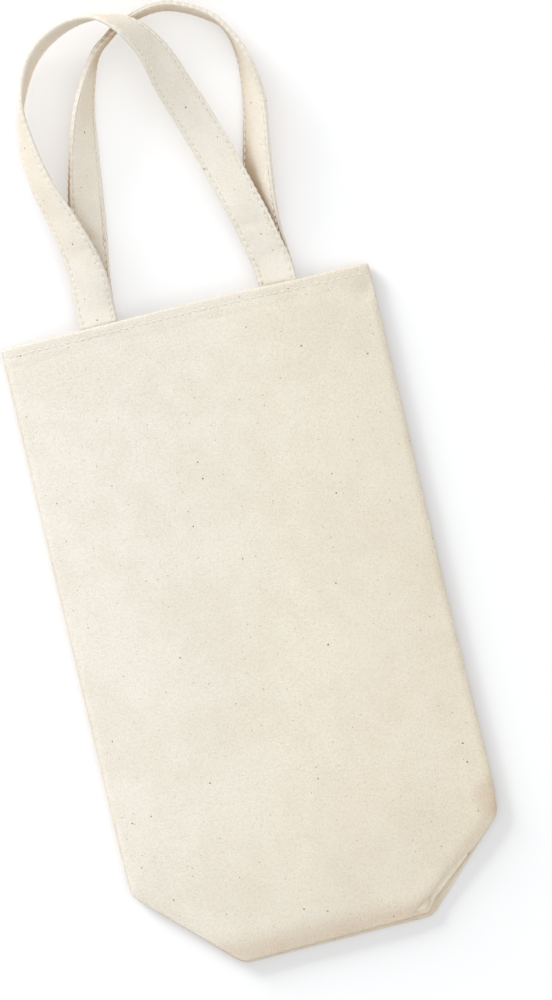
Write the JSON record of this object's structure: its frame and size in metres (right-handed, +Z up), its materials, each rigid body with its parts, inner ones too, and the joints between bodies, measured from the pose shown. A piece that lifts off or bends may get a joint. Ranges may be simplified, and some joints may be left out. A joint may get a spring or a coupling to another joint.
{
  "type": "bottle bag",
  "caption": "Narrow natural-cotton carry bag for a bottle, lying flat with its boxed base folded up inside and soft strap loop handles sewn in behind the hem of its mouth.",
  "frame": {"origin": "middle of the flat bag's outline with its handles, on the surface that it lies on", "axes": "+Y from the bottom fold to the mouth and the handles, +Z up out of the front, +X to the right as the front is seen"},
  "size_m": [0.17, 0.434, 0.0361],
  "materials": {
    "bag_cotton": "brushed natural cotton, matte, faintly mottled, with scattered brown seed flecks",
    "strap_cotton": "the same brushed cotton folded into a strap, matte, with seed flecks",
    "overlocked_edge": "raw cotton edges bound by overlock thread, matte",
    "thread": "undyed cotton sewing thread, matte"
  },
  "bodies": {
    "bag": {"front_panel": "bag_cotton", "back_panel": "bag_cotton", "front_hem": "bag_cotton", "back_hem": "bag_cotton", "left_side_seam": "overlocked_edge", "right_side_seam": "overlocked_edge", "bottom_seam": "overlocked_edge", "left_corner_seam": "overlocked_edge", "right_corner_seam": "overlocked_edge", "front_hem_stitching": "thread", "back_hem_stitching": "thread", "front_handle_ends": "strap_cotton", "back_handle_ends": "strap_cotton"},
    "front_loop": {"front_handle": "strap_cotton", "front_handle_stitching": "thread"},
    "back_loop": {"back_handle": "strap_cotton", "back_handle_stitching": "thread"}
  },
  "joints": [
    {"name": "front_handle_swing", "type": "hinge", "parent": "bag", "child": "front_loop", "pos_m": [0.0018, 0.08338, 0.00795], "axis": [1, 0, 0], "range_deg": [0, 115]},
    {"name": "back_handle_swing", "type": "hinge", "parent": "bag", "child": "back_loop", "pos_m": [0.0018, 0.08338, 0.00255], "axis": [1, 0, 0], "range_deg": [-120, 0]}
  ]
}
